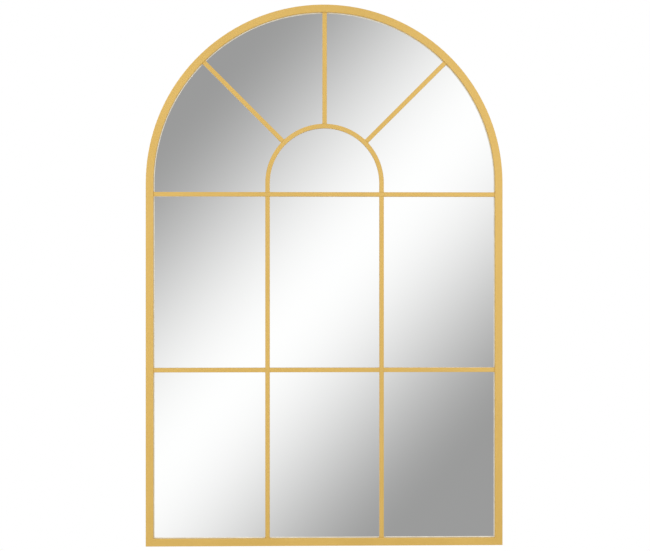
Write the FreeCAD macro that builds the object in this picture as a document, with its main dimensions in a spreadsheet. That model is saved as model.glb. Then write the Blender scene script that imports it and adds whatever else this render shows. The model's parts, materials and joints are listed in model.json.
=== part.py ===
import FreeCAD, Part
import os
import Sketcher

# Arched wall mirror divided like a window: a frame of steel tube, flat glazing bars in front of
# one pane of mirror glass, a backing board held by turn buttons, and two ring hangers.
# Millimetres and degrees. Seen from the front, +X is right, +Y goes into the wall and +Z is up.
# The origin lies on the wall, midway between the two hooks that carry the mirror.

SIZES = {
    # Outline of the frame, a half circle on two straight stiles
    "overall_width": 600,
    "overall_height": 910,
    # Frame tube
    "tube_face": 13,
    "tube_wall": 1.2,
    "tube_corner": 1.2,
    # Glazing bars
    "bar_width": 7.5,
    "bar_depth": 4,
    "bar_edge": 0.6,
    "bar_setback": 2,
    "mullion_offset": 96,
    "transom_drop": 19,
    "lower_transom_share": 0.5,
    "fan_angle": 45,
    # Mirror glass and backing board
    "glass_thickness": 3,
    "glass_seam": 0.4,
    "board_thickness": 6,
    "board_edge": 0.5,
    "pane_clearance": 0.5,
    # Turn buttons
    "button_length": 28,
    "button_width": 10,
    "button_thickness": 1.2,
    "button_edge": 0.3,
    "button_play": 0.1,
    "low_button_share": 0.22,
    "high_button_share": 0.68,
    "rail_button_share": 0.5,
    "arch_button_angle": 35,
    # Pan head screws of the buttons and the straps
    "screw_shank": 3,
    "screw_length": 9,
    "screw_point": 3,
    "screw_head": 6,
    "screw_head_height": 2,
    "screw_head_rim": 0.7,
    "recess_length": 3.4,
    "recess_width": 0.9,
    "recess_depth": 1.2,
    "hole_play": 0.05,
    # Hanger straps, each folded round the straight side of its ring
    "strap_width": 8,
    "strap_leaf": 1,
    "strap_fold": 0.1,
    "strap_length": 25,
    "strap_corner": 2,
    "strap_bend": 1,
    "strap_first_hole": 8,
    "strap_hole_pitch": 10,
    # Hanger rings
    "ring_wire": 2,
    "ring_reach": 12,
    "ring_side_play": 0.75,
    "ring_play": 0.05,
    "ring_rest_gap": 0.3,
    "ring_drop": 25,
    # Rubber bumpers, which also set the gap between frame and wall
    "bumper_width": 10,
    "bumper_height": 5,
    "bumper_edge": 1,
    "bumper_rise": 40,
    # How far a cut runs past the faces it opens
    "cut_overrun": 1,
}

DERIVED = {
    # Depth, from the front of the tube to the wall
    "tube_depth": "Sizes.bar_setback + Sizes.bar_depth + Sizes.glass_thickness + Sizes.board_thickness",
    "rear_y": "-Sizes.bumper_height",
    "tube_y": "rear_y - tube_depth / 2",
    "bar_y": "rear_y - tube_depth + Sizes.bar_setback",
    "glass_y": "bar_y + Sizes.bar_depth",
    "board_y": "glass_y + Sizes.glass_thickness",
    # Outline
    "half_width": "Sizes.overall_width / 2",
    "centre_radius": "half_width - Sizes.tube_face / 2",
    "inner_radius": "half_width - Sizes.tube_face",
    "stile_length": "Sizes.overall_height - half_width",
    # Hangers, measured from the axis of the ring's straight side
    "bore_radius": "Sizes.ring_wire / 2 + Sizes.ring_play",
    "knuckle_radius": "bore_radius + Sizes.strap_leaf",
    "leaf_top": "Sizes.strap_leaf + Sizes.strap_fold - bore_radius",
    "bend_y": "leaf_top + Sizes.strap_bend",
    "bend_z": "-sqrt((knuckle_radius + Sizes.strap_bend)^2 - bend_y^2)",
    "bend_end_share": "knuckle_radius / (knuckle_radius + Sizes.strap_bend)",
    "ring_corner": "Sizes.ring_wire / 2 + Sizes.ring_side_play",
    "ring_half": "Sizes.strap_width / 2 + ring_corner",
    "ring_shoulder": "Sizes.ring_reach - ring_half",
    "ring_rise": "knuckle_radius - Sizes.ring_wire / 2 - Sizes.ring_rest_gap",
    "ring_lean": "asin(ring_rise / Sizes.ring_reach)",
    # Heights, measured from the hooks
    "ring_z": "-(Sizes.ring_reach - Sizes.ring_wire / 2) * cos(ring_lean)",
    "spring_z": "ring_z + Sizes.ring_drop",
    "bottom_z": "spring_z - stile_length",
    "upper_transom_z": "spring_z - Sizes.transom_drop",
    "lower_transom_z": "bottom_z + Sizes.lower_transom_share * (upper_transom_z - bottom_z)",
    # Glazing bars
    "bar_half": "Sizes.bar_width / 2",
    "mullion_inner": "Sizes.mullion_offset - bar_half",
    "mullion_outer": "Sizes.mullion_offset + bar_half",
    "fan_bar_start": "sqrt(mullion_outer^2 - bar_half^2)",
    "fan_bar_end": "sqrt(inner_radius^2 - bar_half^2)",
    # Glass and board
    "pane_radius": "inner_radius - Sizes.pane_clearance",
    "pane_drop": "stile_length - Sizes.tube_face",
    # Screws and their holes
    "hole_diameter": "Sizes.screw_shank + 2 * Sizes.hole_play",
    "head_radius": "Sizes.screw_head / 2",
    "dome_centre": "(Sizes.screw_head_height^2 - head_radius^2 - Sizes.screw_head_rim^2)"
                   " / (2 * (Sizes.screw_head_height - Sizes.screw_head_rim))",
    "button_screw_y": "rear_y + Sizes.button_thickness + 2 * Sizes.button_play",
    "strap_screw_y": "rear_y + 2 * Sizes.strap_leaf + Sizes.strap_fold",
    # Places of the buttons and the strap screws
    "low_button_rise": "Sizes.low_button_share * stile_length",
    "high_button_rise": "Sizes.high_button_share * stile_length",
    "rail_button_x": "Sizes.rail_button_share * inner_radius",
    "arch_button_x": "centre_radius * sin(Sizes.arch_button_angle)",
    "arch_button_rise": "centre_radius * cos(Sizes.arch_button_angle)",
    "first_screw_drop": "Sizes.ring_drop + Sizes.strap_first_hole",
    "second_screw_drop": "first_screw_drop + Sizes.strap_hole_pitch",
}

# How near an edge has to lie to the point that picks it
PICK_TOLERANCE = 0.001

doc = FreeCAD.newDocument("ArchedWindowMirror")


def fill_sheet(name, cells):
    sheet = doc.addObject("Spreadsheet::Sheet", name)
    for row, (alias, content) in enumerate(cells.items(), start=1):
        sheet.set(f"A{row}", alias)
        sheet.set(f"B{row}", str(content))
        sheet.setAlias(f"B{row}", alias)
    doc.recompute()
    return sheet


sizes = fill_sheet("Sizes", SIZES)
fill_sheet("Derived", {alias: "=" + formula for alias, formula in DERIVED.items()})
nodes = []


def now(expression):
    """Present value of an expression, where a sketch starts before its constraints drive it."""
    result = sizes.evalExpression(expression)
    return float(getattr(result, "Value", result))


def placed(x="0", y="0", z="0", axis="0; 1; 0", angle="0"):
    return f"placement(vector({x}; {y}; {z}); rotation(vector({axis}); {angle}))"


def new_body(label, placement=None, is_node=True):
    body = doc.addObject("PartDesign::Body", label)
    body.Label = label
    if placement:
        body.setExpression("Placement", placement)
    if is_node:
        nodes.append(body)
    return body


# Sketches

def new_sketch(body, name, role, offset=None):
    plane = next(item for item in body.Origin.OriginFeatures if item.Role == role)
    sketch = body.newObject("Sketcher::SketchObject", name)
    sketch.AttachmentSupport = [(plane, "")]
    sketch.MapMode = "FlatFace"
    if offset:
        sketch.setExpression("AttachmentOffset.Base.z", offset)
    return sketch


def constrain(sketch, kind, expression, *elements):
    index = sketch.addConstraint(Sketcher.Constraint(kind, *elements, now(expression)))
    sketch.setExpression(f"Constraints[{index}]", expression)


def fix_point(sketch, element, vertex, x, y):
    constrain(sketch, "DistanceX", x, -1, 1, element, vertex)
    constrain(sketch, "DistanceY", y, -1, 1, element, vertex)


def draw_outline(sketch, corners, arcs=None):
    """Closed outline through corners; arcs gives (centre x, centre y, turn) of the round sides."""
    arcs = arcs or {}
    points = [FreeCAD.Vector(now(x), now(y), 0) for x, y in corners]
    ends = []
    for side, start in enumerate(points):
        end = points[(side + 1) % len(points)]
        if side not in arcs:
            ends.append((sketch.addGeometry(Part.LineSegment(start, end)), 1, 2))
            continue
        x, y, turn = arcs[side]
        centre = FreeCAD.Vector(now(x), now(y), 0)
        first, last = (start, end) if turn == "left" else (end, start)
        circle = Part.Circle(centre, FreeCAD.Vector(0, 0, 1), (start - centre).Length)
        arc = Part.ArcOfCircle(circle, circle.parameter(first), circle.parameter(last))
        ends.append((sketch.addGeometry(arc), 1, 2) if turn == "left" else (sketch.addGeometry(arc), 2, 1))
    for side, (element, _, last) in enumerate(ends):
        follower, first, _ = ends[(side + 1) % len(ends)]
        sketch.addConstraint(Sketcher.Constraint("Coincident", element, last, follower, first))
    for (element, first, _), (x, y) in zip(ends, corners):
        fix_point(sketch, element, first, x, y)
    for side, (x, y, _) in arcs.items():
        chord = points[(side + 1) % len(points)] - points[side]
        if abs(chord.x) >= abs(chord.y):
            constrain(sketch, "DistanceY", y, -1, 1, ends[side][0], 3)
        else:
            constrain(sketch, "DistanceX", x, -1, 1, ends[side][0], 3)
    return [element for element, _, _ in ends]


def draw_circle(sketch, x, y, diameter):
    centre = FreeCAD.Vector(now(x), now(y), 0)
    circle = Part.Circle(centre, FreeCAD.Vector(0, 0, 1), now(diameter) / 2)
    element = sketch.addGeometry(circle)
    fix_point(sketch, element, 3, x, y)
    constrain(sketch, "Diameter", diameter, element)
    return element


def draw_tube_section(sketch, across, along, middle="0"):
    """Rounded tube section, across wide and along high, centred on the point (middle, 0)."""
    corner = "Sizes.tube_corner"
    left, right = f"{middle} - {across} / 2", f"{middle} + {across} / 2"
    low, high = f"-{along} / 2", f"{along} / 2"
    outer = [
        (f"{left} + {corner}", low), (f"{right} - {corner}", low),
        (right, f"{low} + {corner}"), (right, f"{high} - {corner}"),
        (f"{right} - {corner}", high), (f"{left} + {corner}", high),
        (left, f"{high} - {corner}"), (left, f"{low} + {corner}"),
    ]
    arcs = {
        1: (f"{right} - {corner}", f"{low} + {corner}", "left"),
        3: (f"{right} - {corner}", f"{high} - {corner}", "left"),
        5: (f"{left} + {corner}", f"{high} - {corner}", "left"),
        7: (f"{left} + {corner}", f"{low} + {corner}", "left"),
    }
    draw_outline(sketch, outer, arcs)
    wall = "Sizes.tube_wall"
    draw_outline(sketch, [
        (f"{left} + {wall}", f"{low} + {wall}"), (f"{right} - {wall}", f"{low} + {wall}"),
        (f"{right} - {wall}", f"{high} - {wall}"), (f"{left} + {wall}", f"{high} - {wall}"),
    ])


# Features

def pad(body, sketch, length, side="One side"):
    """Pad; a sketch on the XZ plane grows towards +Y, into the wall."""
    feature = body.newObject("PartDesign::Pad", sketch.Name + "_pad")
    feature.Profile = sketch
    feature.SideType = side
    feature.Reversed = sketch.AttachmentSupport[0][0].Role == "XZ_Plane"
    feature.setExpression("Length", length)
    doc.recompute()
    return feature


def cut_through(body, sketch, side="Symmetric"):
    """Cut right through; one-sided from the XZ plane, the cut runs towards +Y."""
    feature = body.newObject("PartDesign::Pocket", sketch.Name + "_cut")
    feature.Profile = sketch
    feature.Type = "ThroughAll"
    feature.SideType = side
    doc.recompute()
    return feature


def pick_edges(feature, sketch, elements, y):
    """Names of the edges that the given sketch elements leave on the plane at y."""
    names = []
    for element in elements:
        curve = sketch.Geometry[element]
        middle = curve.value((curve.FirstParameter + curve.LastParameter) / 2)
        point = Part.Vertex(middle.x, y, middle.y)
        for number, edge in enumerate(feature.Shape.Edges, start=1):
            if edge.distToShape(point)[0] < PICK_TOLERANCE:
                names.append(f"Edge{number}")
    return names


def soften(body, kind, feature, edges, amount):
    """Fillet or chamfer on named edges of a feature."""
    result = body.newObject(f"PartDesign::{kind}", f"{feature.Name}_{kind.lower()}")
    result.Base = (feature, edges)
    result.setExpression("Radius" if kind == "Fillet" else "Size", amount)
    doc.recompute()
    return result


def screw_holes(body, places):
    """Screw holes through the rear wall of a tube whose middle lies on the body's XZ plane."""
    sketch = new_sketch(body, body.Name + "_holes", "XZ_Plane")
    for x, z in places:
        draw_circle(sketch, x, z, "Derived.hole_diameter")
    cut_through(body, sketch, "One side")


# Frame tubes

def make_stile(label, sign):
    """Straight tube from the mitred bottom corner up to the spring line; sign is - on the left."""
    body = new_body(label, placed(f"{sign}Derived.centre_radius", "Derived.tube_y", "Derived.bottom_z"))
    section = new_sketch(body, label + "_section", "XY_Plane")
    draw_tube_section(section, "Sizes.tube_face", "Derived.tube_depth")
    pad(body, section, "Derived.stile_length")
    inward = "" if sign == "-" else "-"
    mitre = new_sketch(body, label + "_mitre", "XZ_Plane")
    inside = f"{inward}(Sizes.tube_face / 2 + Sizes.cut_overrun)"
    outside = f"{sign}(Sizes.tube_face / 2 + Sizes.cut_overrun)"
    draw_outline(mitre, [
        (outside, "-Sizes.cut_overrun"), (inside, "-Sizes.cut_overrun"),
        (inside, "Sizes.tube_face + Sizes.cut_overrun"),
    ])
    cut_through(body, mitre)
    screw_holes(body, [
        ("0", "Derived.low_button_rise"), ("0", "Derived.high_button_rise"),
        ("0", "Derived.stile_length - Derived.first_screw_drop"),
        ("0", "Derived.stile_length - Derived.second_screw_drop"),
    ])


def make_bottom_rail():
    label = "bottom_rail"
    body = new_body(label, placed("0", "Derived.tube_y", "Derived.bottom_z + Sizes.tube_face / 2"))
    section = new_sketch(body, label + "_section", "YZ_Plane")
    draw_tube_section(section, "Derived.tube_depth", "Sizes.tube_face")
    pad(body, section, "Sizes.overall_width", "Symmetric")
    mitre = new_sketch(body, label + "_mitres", "XZ_Plane")
    reach = "(Sizes.tube_face / 2 + Sizes.cut_overrun)"
    for sign in ("-", ""):
        end = f"{sign}(Derived.half_width + Sizes.cut_overrun)"
        shoulder = f"{sign}(Derived.inner_radius - Sizes.cut_overrun)"
        draw_outline(mitre, [(end, f"-{reach}"), (shoulder, reach), (end, reach)])
    cut_through(body, mitre)
    screw_holes(body, [("-Derived.rail_button_x", "0"), ("Derived.rail_button_x", "0")])


def make_arch_head():
    """Half ring of tube about the arch centre, which is the body's own origin."""
    label = "arch_head"
    body = new_body(label, placed("0", "Derived.tube_y", "Derived.spring_z"))
    section = new_sketch(body, label + "_section", "XY_Plane")
    draw_tube_section(section, "Sizes.tube_face", "Derived.tube_depth", "Derived.centre_radius")
    bend = body.newObject("PartDesign::Revolution", label + "_bend")
    bend.Profile = section
    bend.ReferenceAxis = (section, ["V_Axis"])
    bend.Angle = 180
    bend.Reversed = True
    doc.recompute()
    screw_holes(body, [
        ("-Derived.arch_button_x", "Derived.arch_button_rise"),
        ("Derived.arch_button_x", "Derived.arch_button_rise"),
    ])


# Glazing bars

def make_bar(label, placement, corners, rounded, arcs=None):
    """Flat bar; the sides numbered in rounded have their front edge eased."""
    body = new_body(label, placement)
    outline = new_sketch(body, label + "_outline", "XZ_Plane")
    elements = draw_outline(outline, corners, arcs)
    bar = pad(body, outline, "Sizes.bar_depth")
    edges = pick_edges(bar, outline, [elements[side] for side in rounded], 0)
    soften(body, "Fillet", bar, edges, "Sizes.bar_edge")


def make_transom(label, left, right, z):
    corners = [
        (left, "-Derived.bar_half"), (right, "-Derived.bar_half"),
        (right, "Derived.bar_half"), (left, "Derived.bar_half"),
    ]
    make_bar(label, placed("0", "Derived.bar_y", z), corners, (0, 2))


def make_mullion(label, sign):
    low = "Derived.bottom_z + Sizes.tube_face"
    high = "Derived.upper_transom_z - Derived.bar_half"
    corners = [
        ("-Derived.bar_half", low), ("Derived.bar_half", low),
        ("Derived.bar_half", high), ("-Derived.bar_half", high),
    ]
    make_bar(label, placed(f"{sign}Sizes.mullion_offset", "Derived.bar_y", "0"), corners, (1, 3))


def make_fan_arch():
    """Bent bar that stands on the upper transom in line with the mullions."""
    foot = "Derived.bar_half - Sizes.transom_drop"
    outer, inner = "Derived.mullion_outer", "Derived.mullion_inner"
    corners = [
        (outer, foot), (outer, "0"), (f"-{outer}", "0"), (f"-{outer}", foot),
        (f"-{inner}", foot), (f"-{inner}", "0"), (inner, "0"), (inner, foot),
    ]
    arcs = {1: ("0", "0", "left"), 5: ("0", "0", "right")}
    place = placed("0", "Derived.bar_y", "Derived.spring_z")
    make_bar("fan_arch", place, corners, (0, 1, 2, 4, 5, 6), arcs)


def make_fan_bar(label, angle):
    """Spoke from the fan arch to the arch head, its ends cut to fit both."""
    start, end = "Derived.fan_bar_start", "Derived.fan_bar_end"
    corners = [
        ("Derived.bar_half", start), ("Derived.bar_half", end),
        ("-Derived.bar_half", end), ("-Derived.bar_half", start),
    ]
    arcs = {1: ("0", "0", "left"), 3: ("0", "0", "right")}
    make_bar(label, placed("0", "Derived.bar_y", "Derived.spring_z", angle=angle), corners, (0, 2), arcs)


# Glass and board

def make_pane(label, y, thickness, softened, amount, kind):
    """Sheet that fills the frame and stands on the bottom rail; softened is the y of its eased edge."""
    body = new_body(label, placed("0", y, "Derived.spring_z"))
    outline = new_sketch(body, label + "_outline", "XZ_Plane")
    side, foot = "Derived.pane_radius", "-Derived.pane_drop"
    corners = [(f"-{side}", foot), (side, foot), (side, "0"), (f"-{side}", "0")]
    elements = draw_outline(outline, corners, {2: ("0", "0", "left")})
    sheet = pad(body, outline, thickness)
    soften(body, kind, sheet, pick_edges(sheet, outline, elements, now(softened)), amount)


# Turn buttons and screws

LOW_BUTTON_Z = "Derived.bottom_z + Derived.low_button_rise"
HIGH_BUTTON_Z = "Derived.bottom_z + Derived.high_button_rise"
RAIL_BUTTON_Z = "Derived.bottom_z + Sizes.tube_face / 2"
ARCH_BUTTON_Z = "Derived.spring_z + Derived.arch_button_rise"

# Each button's place, x and z, and the turn that brings its long end over the board
BUTTONS = {
    "turn_button_left_lower": ("-Derived.centre_radius", LOW_BUTTON_Z, "0"),
    "turn_button_left_upper": ("-Derived.centre_radius", HIGH_BUTTON_Z, "0"),
    "turn_button_right_lower": ("Derived.centre_radius", LOW_BUTTON_Z, "180"),
    "turn_button_right_upper": ("Derived.centre_radius", HIGH_BUTTON_Z, "180"),
    "turn_button_bottom_left": ("-Derived.rail_button_x", RAIL_BUTTON_Z, "-90"),
    "turn_button_bottom_right": ("Derived.rail_button_x", RAIL_BUTTON_Z, "-90"),
    "turn_button_arch_left": ("-Derived.arch_button_x", ARCH_BUTTON_Z, "90 - Sizes.arch_button_angle"),
    "turn_button_arch_right": ("Derived.arch_button_x", ARCH_BUTTON_Z, "90 + Sizes.arch_button_angle"),
}


def make_turn_button(label, x, z, angle):
    """Round-ended strip that turns on its screw; at rest its long end lies over the board."""
    body = new_body(label, placed(x, "Derived.rear_y + Sizes.button_play", z, angle=angle))
    outline = new_sketch(body, label + "_outline", "XZ_Plane")
    half, run = "Sizes.button_width / 2", "Sizes.button_length - Sizes.button_width"
    corners = [("0", f"-{half}"), (run, f"-{half}"), (run, half), ("0", half)]
    arcs = {1: (run, "0", "left"), 3: ("0", "0", "left")}
    elements = draw_outline(outline, corners, arcs)
    draw_circle(outline, "0", "0", "Derived.hole_diameter")
    strip = pad(body, outline, "Sizes.button_thickness")
    edges = pick_edges(strip, outline, elements, now("Sizes.button_thickness"))
    soften(body, "Fillet", strip, edges, "Sizes.button_edge")


def make_screw():
    """Pan head screw along Y, with the underside of its head at the body's origin."""
    body = new_body("pan_head_screw", is_node=False)
    profile = new_sketch(body, "screw_profile", "XY_Plane")
    shank, head = "Sizes.screw_shank / 2", "Derived.head_radius"
    rim, top = "Sizes.screw_head_rim", "Sizes.screw_head_height"
    corners = [
        ("0", "-Sizes.screw_length"), (shank, "Sizes.screw_point - Sizes.screw_length"),
        (shank, "0"), (head, "0"), (head, rim), ("0", top),
    ]
    draw_outline(profile, corners, {4: ("0", "Derived.dome_centre", "left")})
    turned = body.newObject("PartDesign::Revolution", "screw_turned")
    turned.Profile = profile
    turned.ReferenceAxis = (profile, ["V_Axis"])
    doc.recompute()
    cross = new_sketch(body, "screw_cross", "XZ_Plane", f"-{top}")
    near, far = "Sizes.recess_width / 2", "Sizes.recess_length / 2"
    draw_outline(cross, [
        (near, near), (near, far), (f"-{near}", far), (f"-{near}", near),
        (f"-{far}", near), (f"-{far}", f"-{near}"), (f"-{near}", f"-{near}"), (f"-{near}", f"-{far}"),
        (near, f"-{far}"), (near, f"-{near}"), (far, f"-{near}"), (far, near),
    ])
    recess = body.newObject("PartDesign::Pocket", "screw_recess")
    recess.Profile = cross
    recess.Reversed = True
    recess.setExpression("Length", "Sizes.recess_depth")
    doc.recompute()
    return body


def make_screw_group(label, screw, places):
    links = []
    for number, place in enumerate(places, start=1):
        link = doc.addObject("App::Link", f"{label}_{number}")
        link.LinkedObject = screw
        link.LinkTransform = False
        link.setExpression("Placement", place)
        links.append(link)
    group = doc.addObject("Part::Compound", label)
    group.Label = label
    group.Links = links
    nodes.append(group)


# Hangers

def make_strap(label, sign):
    """Strip folded round the straight side of the ring, both leaves flat on the stile."""
    place = placed(f"{sign}Derived.centre_radius", "Derived.rear_y + Derived.knuckle_radius",
                   "Derived.ring_z")
    body = new_body(label, place)
    profile = new_sketch(body, label + "_profile", "YZ_Plane")
    seat, foot, top = "-Derived.knuckle_radius", "-Sizes.strap_length", "Derived.leaf_top"
    bend_end = ("Derived.bend_end_share * Derived.bend_y", "Derived.bend_end_share * Derived.bend_z")
    corners = [(seat, "0"), (seat, foot), (top, foot), (top, "Derived.bend_z"), bend_end]
    arcs = {3: ("Derived.bend_y", "Derived.bend_z", "right"), 4: ("0", "0", "left")}
    draw_outline(profile, corners, arcs)
    strap = pad(body, profile, "Sizes.strap_width", "Symmetric")
    ends = []
    for number, edge in enumerate(strap.Shape.Edges, start=1):
        heights = [vertex.Z for vertex in edge.Vertexes]
        depths = [vertex.Y for vertex in edge.Vertexes]
        if max(heights) - now(foot) < PICK_TOLERANCE and max(depths) - min(depths) > PICK_TOLERANCE:
            ends.append(f"Edge{number}")
    soften(body, "Fillet", strap, ends, "Sizes.strap_corner")
    bore = new_sketch(body, label + "_bore", "YZ_Plane")
    draw_circle(bore, "0", "0", "2 * Derived.bore_radius")
    cut_through(body, bore)
    fold = new_sketch(body, label + "_fold", "YZ_Plane")
    low, high = "-Derived.bore_radius", "Sizes.strap_fold - Derived.bore_radius"
    past = "-(Sizes.strap_length + Sizes.cut_overrun)"
    draw_outline(fold, [(low, past), (high, past), (high, "0"), (low, "0")])
    cut_through(body, fold)
    holes = new_sketch(body, label + "_holes", "XZ_Plane")
    draw_circle(holes, "0", "-Sizes.strap_first_hole", "Derived.hole_diameter")
    draw_circle(holes, "0", "-(Sizes.strap_first_hole + Sizes.strap_hole_pitch)", "Derived.hole_diameter")
    cut_through(body, holes)


def make_ring(label, sign):
    """D-shaped wire ring; at rest it stands up and leans on the stile."""
    place = placed(f"{sign}Derived.centre_radius", "Derived.rear_y + Derived.knuckle_radius",
                   "Derived.ring_z", "1; 0; 0", "Derived.ring_lean")
    body = new_body(label, place)
    path = new_sketch(body, label + "_path", "XZ_Plane")
    bar, side = "Sizes.strap_width / 2", "Derived.ring_half"
    corner, shoulder = "Derived.ring_corner", "Derived.ring_shoulder"
    corners = [
        ("0", "0"), (bar, "0"), (side, corner), (side, shoulder),
        (f"-{side}", shoulder), (f"-{side}", corner), (f"-{bar}", "0"),
    ]
    arcs = {1: (bar, corner, "left"), 3: ("0", shoulder, "left"), 5: (f"-{bar}", corner, "left")}
    draw_outline(path, corners, arcs)
    wire = new_sketch(body, label + "_wire", "YZ_Plane")
    draw_circle(wire, "0", "0", "Sizes.ring_wire")
    ring = body.newObject("PartDesign::AdditivePipe", label + "_pipe")
    ring.Profile = wire
    ring.Spine = path
    doc.recompute()


def make_bumper(label, sign):
    place = placed(f"{sign}Derived.centre_radius", "Derived.rear_y", "Derived.bottom_z + Sizes.bumper_rise")
    body = new_body(label, place)
    outline = new_sketch(body, label + "_outline", "XZ_Plane")
    element = draw_circle(outline, "0", "0", "Sizes.bumper_width")
    rubber = pad(body, outline, "Sizes.bumper_height")
    edges = pick_edges(rubber, outline, [element], now("Sizes.bumper_height"))
    soften(body, "Fillet", rubber, edges, "Sizes.bumper_edge")


# The whole mirror

make_bottom_rail()
make_arch_head()
make_transom("upper_transom", "-Derived.inner_radius", "Derived.inner_radius", "Derived.upper_transom_z")
lower_z = "Derived.lower_transom_z"
make_transom("lower_transom_left", "-Derived.inner_radius", "-Derived.mullion_outer", lower_z)
make_transom("lower_transom_centre", "-Derived.mullion_inner", "Derived.mullion_inner", lower_z)
make_transom("lower_transom_right", "Derived.mullion_outer", "Derived.inner_radius", lower_z)
make_fan_arch()
make_fan_bar("fan_bar_left", "-Sizes.fan_angle")
make_fan_bar("fan_bar_centre", "0")
make_fan_bar("fan_bar_right", "Sizes.fan_angle")
make_pane("mirror_glass", "Derived.glass_y", "Sizes.glass_thickness", "0", "Sizes.glass_seam", "Chamfer")
make_pane("backing_board", "Derived.board_y", "Sizes.board_thickness", "Sizes.board_thickness",
          "Sizes.board_edge", "Fillet")
for button, spot in BUTTONS.items():
    make_turn_button(button, *spot)
pan_head_screw = make_screw()
make_screw_group("turn_button_screws", pan_head_screw,
                 [placed(x, "Derived.button_screw_y", z, angle=angle) for x, z, angle in BUTTONS.values()])
strap_places = []
for side_name, side_sign in (("left", "-"), ("right", "")):
    make_stile(f"{side_name}_stile", side_sign)
    make_mullion(f"mullion_{side_name}", side_sign)
    make_strap(f"hanger_strap_{side_name}", side_sign)
    make_ring(f"hanger_ring_{side_name}", side_sign)
    make_bumper(f"bumper_{side_name}", side_sign)
    for drop in ("Derived.first_screw_drop", "Derived.second_screw_drop"):
        strap_places.append(placed(f"{side_sign}Derived.centre_radius", "Derived.strap_screw_y",
                                   f"Derived.spring_z - {drop}"))
make_screw_group("hanger_screws", pan_head_screw, strap_places)
doc.recompute()

for item in doc.Objects:
    if "Invalid" in item.State or "Error" in item.State:
        raise RuntimeError(f"{item.Name} failed: {item.State}")
for node in nodes:
    if node.Shape.isNull() or not node.Shape.isValid():
        raise RuntimeError(f"{node.Label} has no valid shape")

os.makedirs("parts", exist_ok=True)
for node in nodes:
    node.Shape.exportStep(f"parts/{node.Label}.step")
    print(f"{node.Label}: {len(node.Shape.Solids)} solid(s), {node.Shape.Volume:.1f} mm3")
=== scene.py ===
import json
import math

import bmesh
import bpy
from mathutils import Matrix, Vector


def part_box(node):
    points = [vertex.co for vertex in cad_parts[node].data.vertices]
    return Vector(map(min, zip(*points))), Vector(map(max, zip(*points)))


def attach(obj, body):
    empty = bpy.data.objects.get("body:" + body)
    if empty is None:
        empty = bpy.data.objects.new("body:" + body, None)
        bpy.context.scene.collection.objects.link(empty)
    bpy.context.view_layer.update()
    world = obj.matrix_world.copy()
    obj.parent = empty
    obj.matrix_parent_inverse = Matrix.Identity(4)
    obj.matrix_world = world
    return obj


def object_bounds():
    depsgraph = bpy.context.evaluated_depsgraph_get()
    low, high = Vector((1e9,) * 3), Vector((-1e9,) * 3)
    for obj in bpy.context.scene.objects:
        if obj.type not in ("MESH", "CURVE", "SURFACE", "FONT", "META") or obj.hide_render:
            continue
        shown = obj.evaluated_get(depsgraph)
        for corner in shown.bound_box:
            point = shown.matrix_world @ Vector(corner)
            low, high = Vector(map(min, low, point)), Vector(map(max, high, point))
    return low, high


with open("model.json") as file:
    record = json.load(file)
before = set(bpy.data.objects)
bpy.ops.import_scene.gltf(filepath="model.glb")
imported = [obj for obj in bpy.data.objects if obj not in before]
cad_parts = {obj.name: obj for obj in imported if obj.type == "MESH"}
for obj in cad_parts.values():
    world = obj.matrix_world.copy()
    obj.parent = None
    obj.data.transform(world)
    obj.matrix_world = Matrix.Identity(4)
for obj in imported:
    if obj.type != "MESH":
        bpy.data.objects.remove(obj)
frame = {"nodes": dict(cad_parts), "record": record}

# Metres, in the frame of the CAD: +X right, +Y into the wall, +Z up. The mirror faces -Y.
# Colours are linear. A span is the low and the high end of a range, and a pair of covers or
# roughnesses gives the values at those two ends.
CAD_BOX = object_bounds()
QUARTER_TURN = math.pi / 2
WHITE = (1, 1, 1, 1)


# Shader nodes

def set_inputs(tree, node, inputs):
    """Feeds a node's inputs, which are named or numbered, from sockets or with plain values."""
    for key, value in inputs.items():
        if isinstance(value, bpy.types.NodeSocket):
            tree.links.new(value, node.inputs[key])
        else:
            node.inputs[key].default_value = value


def add_node(tree, kind, inputs, **settings):
    """Adds a node with its settings and its inputs."""
    node = tree.nodes.new(kind)
    for name, value in settings.items():
        setattr(node, name, value)
    set_inputs(tree, node, inputs)
    return node


def new_material(name):
    """A material with one Principled shader: the material, its tree and that shader."""
    material = bpy.data.materials.new(name)
    material.use_nodes = True
    tree = material.node_tree
    return material, tree, tree.nodes["Principled BSDF"]


def coordinates(tree):
    """The place on the object in metres; it moves with the piece."""
    return add_node(tree, "ShaderNodeTexCoord", {}).outputs["Object"]


def stretched(tree, vector, scale):
    """The place scaled along each axis, for grain that runs one way."""
    return add_node(tree, "ShaderNodeMapping", {"Vector": vector, "Scale": scale}).outputs[0]


def noise(tree, vector, size, detail, roughness=0.5):
    """Cloudy noise from 0 to 1 whose features are about size metres across."""
    inputs = {"Vector": vector, "Scale": 1 / size, "Detail": detail, "Roughness": roughness}
    return add_node(tree, "ShaderNodeTexNoise", inputs).outputs["Fac"]


def calculate(tree, operation, first, second=0.0, third=0.0):
    """One step of arithmetic."""
    inputs = {0: first, 1: second, 2: third}
    return add_node(tree, "ShaderNodeMath", inputs, operation=operation).outputs[0]


def spread(tree, value, span, onto=(0, 1), interpolation="SMOOTHSTEP"):
    """Maps a span of values onto another one, held at its ends."""
    inputs = {"Value": value, "From Min": span[0], "From Max": span[1], "To Min": onto[0], "To Max": onto[1]}
    node = add_node(tree, "ShaderNodeMapRange", inputs, interpolation_type=interpolation)
    return node.outputs["Result"]


def blend(tree, factor, first, second):
    """Mixes two colours by a factor."""
    inputs = {0: factor, 6: first, 7: second}
    return add_node(tree, "ShaderNodeMix", inputs, data_type="RGBA").outputs[2]


def blend_numbers(tree, factor, first, second):
    """Mixes two numbers by a factor."""
    inputs = {0: factor, 2: first, 3: second}
    return add_node(tree, "ShaderNodeMix", inputs, data_type="FLOAT").outputs[0]


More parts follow.
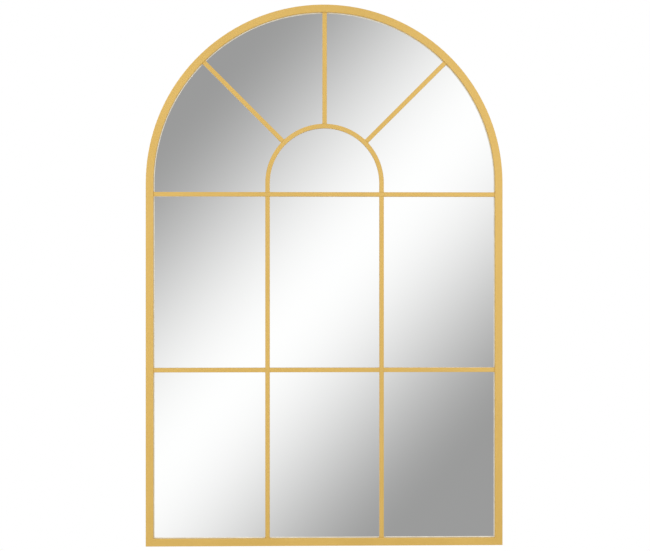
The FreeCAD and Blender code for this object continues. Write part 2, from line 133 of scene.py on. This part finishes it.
def bump(tree, height, depth, strength=1.0):
    """A surface raised by height times depth in metres."""
    inputs = {"Height": height, "Distance": depth, "Strength": strength}
    return add_node(tree, "ShaderNodeBump", inputs).outputs["Normal"]


# The span that holds most of a noise
NOISE_SPAN = (0.3, 0.7)

# Gold powder coat
GOLD_DEEP = (0.71, 0.438, 0.072, 1)
GOLD_LIGHT = (0.735, 0.460, 0.084, 1)
GOLD_FLAKE = (0.87, 0.65, 0.26, 1)
GOLD_CLOUD_SIZE = 0.07
GOLD_FLAKE_SIZE = 0.0007
GOLD_FLAKE_SPAN = (0.58, 0.72)
GOLD_FLAKE_COVER = (0, 0.26)
GOLD_PEEL_SIZE = 0.0018
GOLD_PEEL_DEPTH = 0.00002
GOLD_ROUGHNESS = (0.36, 0.44)


def gold_paint():
    """Satin gold powder coat: cloudy tone, metal flakes and a fine orange peel."""
    material, tree, shader = new_material("gold_paint")
    place = coordinates(tree)
    cloud = noise(tree, place, GOLD_CLOUD_SIZE, detail=3)
    tone = blend(tree, spread(tree, cloud, NOISE_SPAN), GOLD_DEEP, GOLD_LIGHT)
    flakes = noise(tree, place, GOLD_FLAKE_SIZE, detail=1)
    cover = spread(tree, flakes, GOLD_FLAKE_SPAN, GOLD_FLAKE_COVER)
    peel = noise(tree, place, GOLD_PEEL_SIZE, detail=2)
    set_inputs(tree, shader, {
        "Base Color": blend(tree, cover, tone, GOLD_FLAKE),
        "Roughness": spread(tree, cloud, NOISE_SPAN, GOLD_ROUGHNESS),
        "Normal": bump(tree, peel, GOLD_PEEL_DEPTH),
        "Metallic": 0.25,
        "Coat Weight": 0.9,
        "Coat Roughness": 0.38,
    })
    return material


# Silvered glass
SILVER = (0.97, 0.975, 0.972, 1)
SILVER_ROUGHNESS = (0.008, 0.026)
GLASS_EDGE = (0.19, 0.33, 0.27, 1)
BACK_PAINT = (0.23, 0.24, 0.25, 1)
RIM_ROUGHNESS = 0.3
FACING_LIMIT = 0.5
WIPE_SIZE = 0.11
WIPE_STRETCH = (1, 1, 0.35)
WIPE_SPAN = (0.45, 0.8)


def mirror_glass():
    """Silvered float glass: silver in front, a green cut edge and paint behind, with faint wipe marks."""
    material, tree, shader = new_material("mirror_glass")
    normal = add_node(tree, "ShaderNodeNewGeometry", {}).outputs["Normal"]
    facing = add_node(tree, "ShaderNodeSeparateXYZ", {"Vector": normal}).outputs["Y"]
    front = calculate(tree, "LESS_THAN", facing, -FACING_LIMIT)
    behind = calculate(tree, "GREATER_THAN", facing, FACING_LIMIT)
    rim = blend(tree, behind, GLASS_EDGE, BACK_PAINT)
    wipes = noise(tree, stretched(tree, coordinates(tree), WIPE_STRETCH), WIPE_SIZE, detail=4)
    wiped = spread(tree, wipes, WIPE_SPAN, SILVER_ROUGHNESS)
    set_inputs(tree, shader, {
        "Base Color": blend(tree, front, rim, SILVER),
        "Roughness": blend_numbers(tree, front, RIM_ROUGHNESS, wiped),
        "Metallic": front,
    })
    return material


# Raw MDF
BOARD_BROWN = (0.30, 0.195, 0.11, 1)
BOARD_TAN = (0.34, 0.225, 0.13, 1)
BOARD_PALE = (0.47, 0.33, 0.205, 1)
BOARD_DARK = (0.13, 0.075, 0.04, 1)
BOARD_ROUGHNESS = (0.72, 0.86)
STAIN_SIZE = 0.16
STAIN_SPAN = (0.25, 0.75)
FIBRE_SIZE = 0.0016
FIBRE_STRETCH = (1, 1, 0.5)
FIBRE_SPAN = (0.50, 0.72)
FIBRE_COVER = (0, 0.6)
FIBRE_DEPTH = 0.00012
FLECK_SIZE = 0.0011
FLECK_STRETCH = (0.45, 1, 1)
FLECK_SPAN = (0.55, 0.74)
FLECK_COVER = (0, 0.65)


def board():
    """Raw MDF: pressed brown board with pale fibres, dark flecks across them and soft stains."""
    material, tree, shader = new_material("board")
    place = coordinates(tree)
    stain = noise(tree, place, STAIN_SIZE, detail=4)
    fibres = noise(tree, stretched(tree, place, FIBRE_STRETCH), FIBRE_SIZE, detail=5, roughness=0.7)
    flecks = noise(tree, stretched(tree, place, FLECK_STRETCH), FLECK_SIZE, detail=4, roughness=0.65)
    tone = blend(tree, spread(tree, stain, STAIN_SPAN), BOARD_BROWN, BOARD_TAN)
    tone = blend(tree, spread(tree, fibres, FIBRE_SPAN, FIBRE_COVER), tone, BOARD_PALE)
    tone = blend(tree, spread(tree, flecks, FLECK_SPAN, FLECK_COVER), tone, BOARD_DARK)
    set_inputs(tree, shader, {
        "Base Color": tone,
        "Roughness": spread(tree, fibres, NOISE_SPAN, BOARD_ROUGHNESS),
        "Normal": bump(tree, fibres, FIBRE_DEPTH, strength=0.7),
        "Specular IOR Level": 0.3,
    })
    return material


# Plated steel
ZINC_LIGHT = (0.62, 0.635, 0.66, 1)
ZINC_DULL = (0.42, 0.435, 0.46, 1)
# A reach is how far the painted shade in the corners spreads.
ZINC_SHADE_REACH = 0.001
SCREW_LIGHT = (0.60, 0.575, 0.52, 1)
SCREW_DULL = (0.38, 0.36, 0.32, 1)
SCREW_SHADE_REACH = 0.0016
PLATING_SIZE = 0.006
PLATING_ROUGHNESS = 0.2
SCRATCH_SIZE = 0.00028
SCRATCH_STRETCH = (1, 1, 0.04)
SCRATCH_SPAN = (0.55, 0.75)
SCRATCH_COVER = (0, 0.35)
SCRATCH_DEPTH = 0.000012
SCRATCH_ROUGHNESS = 0.16
# Painted shade: corners and recesses found by ambient occlusion are darkened towards this colour and made
# rougher.
PAINTED_CORNER_SHADE = (0.05, 0.045, 0.04, 1)
CORNER_SHADE_SPAN = (0.25, 0.75)
CORNER_SHADE_COVER = (0.75, 0)
CORNER_SHADE_ROUGHNESS = 0.7


def plated_metal(name, light, dull, shade_reach):
    """Bright plated steel: cloudy plating, fine rolling scratches, and painted shade that darkens and
    roughens the corners.
    """
    material, tree, shader = new_material(name)
    place = coordinates(tree)
    plating = noise(tree, place, PLATING_SIZE, detail=3)
    scratches = noise(tree, stretched(tree, place, SCRATCH_STRETCH), SCRATCH_SIZE, detail=2)
    # Painted shade: ambient occlusion picks out the corners and recesses, which the colour darkens.
    corners = add_node(tree, "ShaderNodeAmbientOcclusion", {"Distance": shade_reach}).outputs["AO"]
    corner_shade = spread(tree, corners, CORNER_SHADE_SPAN, CORNER_SHADE_COVER)
    tone = blend(tree, spread(tree, plating, NOISE_SPAN), dull, light)
    tone = blend(tree, spread(tree, scratches, SCRATCH_SPAN, SCRATCH_COVER), tone, dull)
    worn = calculate(tree, "MULTIPLY_ADD", scratches, SCRATCH_ROUGHNESS, PLATING_ROUGHNESS)
    corner_roughness = calculate(tree, "MULTIPLY", corner_shade, CORNER_SHADE_ROUGHNESS)
    set_inputs(tree, shader, {
        "Base Color": blend(tree, corner_shade, tone, PAINTED_CORNER_SHADE),
        "Roughness": calculate(tree, "MAXIMUM", worn, corner_roughness),
        "Normal": bump(tree, scratches, SCRATCH_DEPTH),
        "Metallic": 1,
    })
    return material


# Rubber
RUBBER_BLACK = (0.018, 0.018, 0.019, 1)
RUBBER_DUST = (0.085, 0.083, 0.08, 1)
RUBBER_ROUGHNESS = (0.55, 0.8)
DUST_SIZE = 0.004
DUST_SPAN = (0.5, 0.8)
DUST_COVER = (0, 0.7)
GRAIN_SIZE = 0.0006
GRAIN_DEPTH = 0.00008


def rubber():
    """Matt black rubber with a moulded grain and a little dust."""
    material, tree, shader = new_material("rubber")
    place = coordinates(tree)
    dust = spread(tree, noise(tree, place, DUST_SIZE, detail=4), DUST_SPAN, DUST_COVER)
    grain = noise(tree, place, GRAIN_SIZE, detail=2)
    set_inputs(tree, shader, {
        "Base Color": blend(tree, dust, RUBBER_BLACK, RUBBER_DUST),
        "Roughness": spread(tree, dust, DUST_COVER, RUBBER_ROUGHNESS),
        "Normal": bump(tree, grain, GRAIN_DEPTH),
        "Specular IOR Level": 0.35,
    })
    return material


# Silicone
SEALANT_CLEAR = (0.92, 0.88, 0.76, 1)
SEALANT_CLOUDY = (0.84, 0.79, 0.66, 1)
SEALANT_ROUGHNESS = (0.34, 0.46)
SEALANT_CLOUD_SIZE = 0.012
SEALANT_CLOUD_SPAN = (0.35, 0.65)
RIPPLE_SIZE = 0.003
RIPPLE_DEPTH = 0.0001


def sealant():
    """Pale silicone, a little cloudy, with the ripple of a wiped bead."""
    material, tree, shader = new_material("sealant")
    place = coordinates(tree)
    cloud = spread(tree, noise(tree, place, SEALANT_CLOUD_SIZE, detail=3), SEALANT_CLOUD_SPAN)
    ripple = noise(tree, place, RIPPLE_SIZE, detail=2)
    set_inputs(tree, shader, {
        "Base Color": blend(tree, cloud, SEALANT_CLOUDY, SEALANT_CLEAR),
        "Roughness": spread(tree, cloud, (0, 1), SEALANT_ROUGHNESS),
        "Normal": bump(tree, ripple, RIPPLE_DEPTH),
    })
    return material


FINISHES = {
    "gold_paint": gold_paint(),
    "mirror_glass": mirror_glass(),
    "board": board(),
    "zinc_plate": plated_metal("zinc_plate", ZINC_LIGHT, ZINC_DULL, ZINC_SHADE_REACH),
    "screw_steel": plated_metal("screw_steel", SCREW_LIGHT, SCREW_DULL, SCREW_SHADE_REACH),
    "rubber": rubber(),
    "sealant": sealant(),
}


def finish_nodes():
    """Gives each CAD node the finish of its slot in the record."""
    for part in frame["record"]["subparts"]:
        node = frame["nodes"][part["node"]]
        for slot in node.material_slots:
            slot.material = FINISHES[part["material_slot"]]


# Meshes
SHARP_EDGE = math.radians(32)


def mesh_object(name, mesh, material):
    """Turns a finished bmesh into an object of the scene."""
    data = bpy.data.meshes.new(name)
    mesh.to_mesh(data)
    mesh.free()
    data.materials.append(material)
    result = bpy.data.objects.new(name, data)
    bpy.context.scene.collection.objects.link(result)
    return result


def add_piece(name, mesh, slot):
    """Adds a piece to the frame in its slot's finish; edges sharper than SHARP_EDGE stay crisp."""
    bmesh.ops.recalc_face_normals(mesh, faces=mesh.faces)
    for face in mesh.faces:
        face.smooth = True
    piece = mesh_object(name, mesh, FINISHES[slot])
    piece.data.set_sharp_from_angle(angle=SHARP_EDGE)
    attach(piece, "frame")


def bridge(mesh, rings):
    """Faces between closed rings of points, each with the next."""
    for ring, after in zip(rings, rings[1:]):
        for index in range(len(ring)):
            follower = (index + 1) % len(ring)
            mesh.faces.new((ring[index], after[index], after[follower], ring[follower]))


# Painted weld fillets in the corners where a bar butts against its neighbour, set back behind
# the eased front edges of the bars. Their corners are worked out in the plane of X and Z.
FILLET_RADIUS = 0.0012
FILLET_SINK = 0.0002
FILLET_SETBACK = 0.0006
FILLET_STEPS = 6
MULLIONS = ("mullion_left", "mullion_right")
TRANSOMS = ("lower_transom_left", "lower_transom_centre", "lower_transom_right", "upper_transom")
UP = Vector((0, 1))
RIGHT = Vector((1, 0))


def box_middle(name):
    """The middle of a node's box, in the plane of X and Z."""
    low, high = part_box(name)
    return Vector(((low.x + high.x) / 2, (low.z + high.z) / 2))


def butt_corners(foot, along, centre=None):
    """The corners beside the foot of a bar, each with the ways along the bar and along its neighbour.

    The neighbour is straight, or round about a centre.
    """
    low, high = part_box("mullion_left")
    half_width = (high.x - low.x) / 2
    side = Vector((-along.y, along.x))
    corners = []
    for way in (side, -side):
        corner = foot + way * half_width
        wall = way
        if centre is not None:
            radial = (corner - centre).normalized()
            wall = Vector((-radial.y, radial.x))
            wall = wall if wall.dot(way) > 0 else -wall
        corners.append((corner, along, wall))
    return corners


def straight_corners():
    """Corners at the ends of mullions and transoms and at the feet of the fan arch."""
    corners = []
    for name in MULLIONS:
        low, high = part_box(name)
        for z, along in ((low.z, UP), (high.z, -UP), (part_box("fan_arch")[0].z, UP)):
            corners += butt_corners(Vector((box_middle(name).x, z)), along)
    for name in TRANSOMS:
        low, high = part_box(name)
        for x, along in ((low.x, RIGHT), (high.x, -RIGHT)):
            corners += butt_corners(Vector((x, box_middle(name).y)), along)
    return corners


def fan_corners():
    """Corners at both ends of the fan bars."""
    low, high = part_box("fan_arch")
    centre = Vector((0, high.z - (high.x - low.x) / 2))
    left_bar = box_middle("fan_bar_left") - centre
    slant = math.atan2(-left_bar.x, left_bar.y)
    start, end = (corner.z - centre.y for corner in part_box("fan_bar_centre"))
    corners = []
    for angle in (-slant, 0, slant):
        along = Vector((math.sin(angle), math.cos(angle)))
        corners += butt_corners(centre + along * start, along, centre)
        corners += butt_corners(centre + along * end, -along, centre)
    return corners


def make_fillets():
    """A short concave fillet in each corner, from the glass to the front of the bars."""
    low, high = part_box("mullion_left")
    mesh = bmesh.new()
    for corner, along, wall in straight_corners() + fan_corners():
        hub = corner + (along + wall) * FILLET_RADIUS
        outline = [
            corner - (along + wall) * FILLET_SINK,
            corner + along * FILLET_RADIUS - wall * FILLET_SINK,
        ]
        for step in range(FILLET_STEPS + 1):
            turn = QUARTER_TURN * step / FILLET_STEPS
            outline.append(hub - (wall * math.cos(turn) + along * math.sin(turn)) * FILLET_RADIUS)
        outline.append(corner + wall * FILLET_RADIUS - along * FILLET_SINK)
        front, back = ([mesh.verts.new((point.x, y, point.y)) for point in outline]
                       for y in (low.y + FILLET_SETBACK, high.y))
        mesh.faces.new(front)
        mesh.faces.new(reversed(back))
        bridge(mesh, (front, back))
    add_piece("weld_fillets", mesh, "gold_paint")


# Silicone that fills the gap round the pane, as a narrow concave bead on the glass
SEAL_WIDTH = 0.0013
SEAL_RISE = 0.0012
SEAL_SINK = 0.0002
SEAL_STEPS = 5
ARCH_STEPS = 128


def seal_ring(mesh, inset, y):
    """Points round the pane on the inner faces of the frame tubes, moved inwards by inset."""
    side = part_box("right_stile")[0].x - inset
    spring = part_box("right_stile")[1].z
    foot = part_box("bottom_rail")[1].z + inset
    points = [(side, foot)]
    for step in range(ARCH_STEPS + 1):
        turn = math.pi * step / ARCH_STEPS
        points.append((side * math.cos(turn), spring + side * math.sin(turn)))
    points.append((-side, foot))
    return [mesh.verts.new((x, y, z)) for x, z in points]


def make_seal():
    """The bead lies on the glass and climbs the inner faces of the frame tubes."""
    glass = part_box("mirror_glass")[0].y
    section = [(-SEAL_SINK, glass + SEAL_SINK), (-SEAL_SINK, glass - SEAL_RISE)]
    for step in range(SEAL_STEPS + 1):
        turn = QUARTER_TURN * step / SEAL_STEPS
        section.append((SEAL_WIDTH * (1 - math.cos(turn)), glass - SEAL_RISE * (1 - math.sin(turn))))
    section.append((SEAL_WIDTH, glass + SEAL_SINK))
    mesh = bmesh.new()
    rings = [seal_ring(mesh, inset, y) for inset, y in section]
    bridge(mesh, rings + rings[:1])
    add_piece("edge_seal", mesh, "sealant")


# The photograph's frame and the mirror's outline in it, in pixels
PHOTO_WIDTH = 650
PHOTO_HEIGHT = 551
OUTLINE_WIDTH = 357.4
OUTLINE_CENTRE_X = 324.65
OUTLINE_CENTRE_Y = 275.2

# The camera stands a little left of the middle, as the slope of the outline's lower edge shows.
CAMERA_DISTANCE = 2.0
CAMERA_AZIMUTH = math.radians(-1.1)
SENSOR_WIDTH = 36


def centre_of_face():
    """The middle of the mirror's front plane."""
    low, high = CAD_BOX
    return Vector(((low.x + high.x) / 2, low.y, (low.z + high.z) / 2))


def pixel_size():
    """Metres a pixel of the photograph on the mirror's front plane."""
    low, high = CAD_BOX
    return (high.x - low.x) / OUTLINE_WIDTH


def aim(thing, target):
    """Turns a camera or a lamp towards a point."""
    thing.rotation_mode = "QUATERNION"
    thing.rotation_quaternion = (target - thing.location).to_track_quat("-Z", "Y")


def make_camera():
    """A camera before the mirror, whose frame holds it as the photograph does."""
    data = bpy.data.cameras.new("camera")
    data.sensor_width = SENSOR_WIDTH
    data.lens = SENSOR_WIDTH * CAMERA_DISTANCE / (PHOTO_WIDTH * pixel_size())
    camera = bpy.data.objects.new("camera", data)
    bpy.context.scene.collection.objects.link(camera)
    off_x = (PHOTO_WIDTH / 2 - OUTLINE_CENTRE_X) * pixel_size()
    off_z = (OUTLINE_CENTRE_Y - PHOTO_HEIGHT / 2) * pixel_size()
    target = centre_of_face() + Vector((off_x, 0, off_z))
    back = Vector((math.sin(CAMERA_AZIMUTH), -math.cos(CAMERA_AZIMUTH), 0))
    camera.location = target + back * CAMERA_DISTANCE
    aim(camera, target)
    bpy.context.scene.camera = camera


# Square lamps: each one's place and its power in watts
LAMP_SIDE = 2.6
FRONT_LAMPS = {"key": ((-1.5, -2.4, 0.4), 17.6), "fill": ((1.6, -2.4, 0.25), 18)}
REAR_LAMPS = {"rear_left": ((-1.9, 2.4, 1.5), 24), "rear_right": ((1.9, 2.4, 0.9), 17)}


def make_lamp(name, place, power, receivers=None):
    """A soft square lamp aimed at the mirror; receivers holds what it lights or leaves out."""
    data = bpy.data.lights.new(name, "AREA")
    data.shape = "SQUARE"
    data.size = LAMP_SIDE
    data.energy = power
    lamp = bpy.data.objects.new(name, data)
    bpy.context.scene.collection.objects.link(lamp)
    lamp.location = place
    lamp.visible_camera = False
    lamp.light_linking.receiver_collection = receivers
    aim(lamp, centre_of_face())


def make_lamps():
    """A lamp at each side in front, which the glass doesn't show, and two behind."""
    not_the_glass = bpy.data.collections.new("not_the_glass")
    not_the_glass.objects.link(frame["nodes"]["mirror_glass"])
    for entry in not_the_glass.collection_objects:
        entry.light_linking.link_state = "EXCLUDE"
    for name, (place, power) in FRONT_LAMPS.items():
        make_lamp(name, place, power, not_the_glass)
    for name, (place, power) in REAR_LAMPS.items():
        make_lamp(name, place, power)


# The world's strength on what it lights; where it is seen it has a strength of 1.
AMBIENT = 0.72


def make_world():
    """White to the eye and in reflections, a plain level of light on everything else."""
    world = bpy.data.worlds.new("studio")
    bpy.context.scene.world = world
    world.use_nodes = True
    world.cycles.sampling_method = "NONE"
    tree = world.node_tree
    rays = add_node(tree, "ShaderNodeLightPath", {}).outputs
    seen = calculate(tree, "MAXIMUM", rays["Is Camera Ray"], rays["Is Glossy Ray"])
    seen = calculate(tree, "MAXIMUM", seen, rays["Is Transmission Ray"])
    strength = spread(tree, seen, (0, 1), (AMBIENT, 1), "LINEAR")
    set_inputs(tree, tree.nodes["Background"], {"Color": WHITE, "Strength": strength})


# A round floor below the mirror, plain in the middle
FLOOR_DROP = 0.9
FLOOR_RADIUS = 2.6
FLOOR_PLAIN = 1.3
FLOOR_SIDES = 96
FLOOR_PALE = (0.84, 0.84, 0.83, 1)
FLOOR_MOTTLE_SIZE = 0.05
FLOOR_ROUGHNESS = (0.6, 0.75)


def floor_paint():
    """Pale matt paint that fades out towards the rim of the floor."""
    material, tree, shader = new_material("floor")
    place = coordinates(tree)
    mottle = noise(tree, place, FLOOR_MOTTLE_SIZE, detail=3)
    distance = add_node(tree, "ShaderNodeVectorMath", {0: place}, operation="LENGTH").outputs["Value"]
    set_inputs(tree, shader, {
        "Base Color": FLOOR_PALE,
        "Roughness": spread(tree, mottle, NOISE_SPAN, FLOOR_ROUGHNESS),
        "Alpha": spread(tree, distance, (FLOOR_PLAIN, FLOOR_RADIUS), (1, 0)),
    })
    return material


def make_floor():
    """A pale floor that keeps the mirror's shadow."""
    mesh = bmesh.new()
    bmesh.ops.create_circle(mesh, cap_ends=True, radius=FLOOR_RADIUS, segments=FLOOR_SIDES)
    floor = mesh_object("floor", mesh, floor_paint())
    floor.location = (0, 0, CAD_BOX[0].z - FLOOR_DROP)
    floor.visible_glossy = False


# A half-round card in front of the mirror, for the glass to reflect. The photograph shows one soft
# diagonal band of its light: ridge and reach are pixels of x + BAND_SLOPE * y. On the card the band
# repeats, and it fades to white at the card's upper and lower edge.
BAND_SLOPE = 0.903
BAND_RIDGE = 582
BAND_REACH = 301
CARD_RADIUS = 6.0
CARD_LOW = -14.0
CARD_HIGH = 4.5
CARD_STEPS = 48
CARD_FADE = 1.8
CARD_GREY = 0.337
CARD_BRIGHT = 1.024
CARD_PERIOD = 5.0


def card_light():
    """Soft diagonal bands of light: the card's own map holds metres along it and up it."""
    material = bpy.data.materials.new("card_light")
    material.use_nodes = True
    material.cycles.emission_sampling = "NONE"
    tree = material.node_tree
    tree.nodes.clear()
    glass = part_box("mirror_glass")[0].y
    to_glass = CAMERA_DISTANCE + glass - CAD_BOX[0].y
    growth = 1 + (CARD_RADIUS + glass) / to_glass
    card_pixel = pixel_size() * to_glass / CAMERA_DISTANCE * growth
    eye = bpy.context.scene.camera.location
    middle = eye.x * (1 - growth) - BAND_SLOPE * eye.z
    ridge = BAND_RIDGE - (PHOTO_WIDTH + BAND_SLOPE * PHOTO_HEIGHT) / 2
    place = add_node(tree, "ShaderNodeUVMap", {}, uv_map="metres").outputs["UV"]
    axes = add_node(tree, "ShaderNodeSeparateXYZ", {"Vector": place}).outputs
    across = calculate(tree, "MULTIPLY_ADD", axes["Y"], -BAND_SLOPE, axes["X"])
    from_ridge = calculate(tree, "SUBTRACT", across, middle + ridge * card_pixel)
    nearest = calculate(tree, "WRAP", from_ridge, CARD_PERIOD / 2, -CARD_PERIOD / 2)
    off_ridge = calculate(tree, "ABSOLUTE", nearest)
    band = spread(tree, off_ridge, (0, BAND_REACH * card_pixel), (CARD_BRIGHT, CARD_GREY))
    half = (CARD_HIGH - CARD_LOW) / 2
    off_middle = calculate(tree, "SUBTRACT", axes["Y"], (CARD_HIGH + CARD_LOW) / 2)
    edge = spread(tree, calculate(tree, "ABSOLUTE", off_middle), (half - CARD_FADE, half))
    inputs = {"Color": WHITE, "Strength": blend_numbers(tree, edge, band, 1)}
    light = add_node(tree, "ShaderNodeEmission", inputs)
    add_node(tree, "ShaderNodeOutputMaterial", {"Surface": light.outputs[0]}, is_active_output=True)
    return material


def make_card():
    """The card itself, mapped in metres; the camera doesn't see it."""
    mesh = bmesh.new()
    metres = mesh.loops.layers.uv.new("metres")
    columns = []
    for step in range(CARD_STEPS + 1):
        turn = math.pi * step / CARD_STEPS - QUARTER_TURN
        x = CARD_RADIUS * math.sin(turn)
        y = -CARD_RADIUS * math.cos(turn)
        column = [mesh.verts.new((x, y, z)) for z in (CARD_LOW, CARD_HIGH)]
        columns.append((turn * CARD_RADIUS, column))
    for (left, first), (right, second) in zip(columns, columns[1:]):
        face = mesh.faces.new((first[0], second[0], second[1], first[1]))
        for loop, along in zip(face.loops, (left, right, right, left)):
            loop[metres].uv = (along, loop.vert.co.z)
    card = mesh_object("card", mesh, card_light())
    card.visible_camera = False


bpy.context.scene.view_settings.view_transform = "Standard"
finish_nodes()
make_fillets()
make_seal()
make_camera()
make_world()
make_floor()
make_card()
make_lamps()
